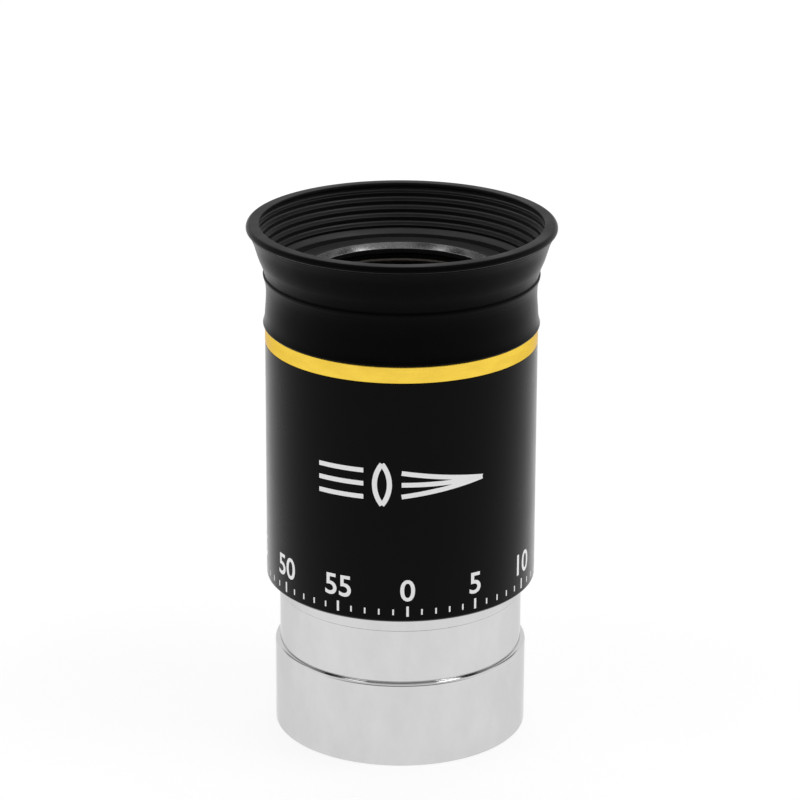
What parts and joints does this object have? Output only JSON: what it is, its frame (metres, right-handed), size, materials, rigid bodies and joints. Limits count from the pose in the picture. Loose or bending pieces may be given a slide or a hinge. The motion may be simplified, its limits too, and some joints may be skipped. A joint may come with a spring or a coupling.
{
  "type": "telescope eyepiece",
  "caption": "Telescope eyepiece: chromed barrel with undercut, black cylindrical housing with gold trim ring, glass lens stack and flared fold-down rubber eyecup.",
  "frame": {"origin": "centre of the barrel's foot, on the optical axis", "axes": "+Z along the optical axis towards the eye; the object is round, so X and Y are free, with the printing facing -Y"},
  "size_m": [0.0382, 0.0382, 0.0659],
  "materials": {
    "chrome_plate": "polished",
    "black_anodised": "satin",
    "gold_anodised": "satin",
    "black_inner": "matte",
    "black_gloss": "gloss",
    "black_rubber": "matte",
    "coated_glass": "polished"
  },
  "bodies": {
    "barrel": {"barrel_tube": "chrome_plate"},
    "optics": {"lens_cell": "black_inner", "eye_lens_flint": "coated_glass", "eye_lens_crown": "coated_glass", "upper_spacer": "black_inner", "centre_lens": "coated_glass", "lower_spacer": "black_inner", "field_lens_crown": "coated_glass", "field_lens_flint": "coated_glass", "eye_retaining_ring": "black_gloss", "field_stop_ring": "black_inner"},
    "housing": {"shoulder_collar": "chrome_plate", "housing_shell": "black_anodised", "gold_trim_ring": "gold_anodised", "eye_end_cap": "black_anodised"},
    "eyecup": {"eyecup_sleeve": "black_rubber", "eyecup_skirt": "black_rubber"},
    "eyecup_rim": {"eyecup_rim": "black_rubber"}
  },
  "joints": [
    {"name": "housing_rise", "type": "slide", "parent": "barrel", "child": "optics", "axis": [0, 0, 1], "range_m": [0, 0.003]},
    {"name": "housing_turn", "type": "hinge", "parent": "optics", "child": "housing", "pos_m": [0, 0, 0.02], "axis": [0, 0, 1], "range_deg": [0, 1440]},
    {"name": "eyecup_pull_off", "type": "slide", "parent": "housing", "child": "eyecup", "axis": [0, 0, 1], "range_m": [0, 0.01]},
    {"name": "eyecup_fold", "type": "slide", "parent": "eyecup", "child": "eyecup_rim", "axis": [0, 0, 1], "range_m": [-0.0102, 0], "deforming": ["eyecup_skirt"]}
  ],
  "couplings": [
    {"joint": "housing_rise", "follows": "housing_turn", "m_per_rad": 0.00011936}
  ]
}
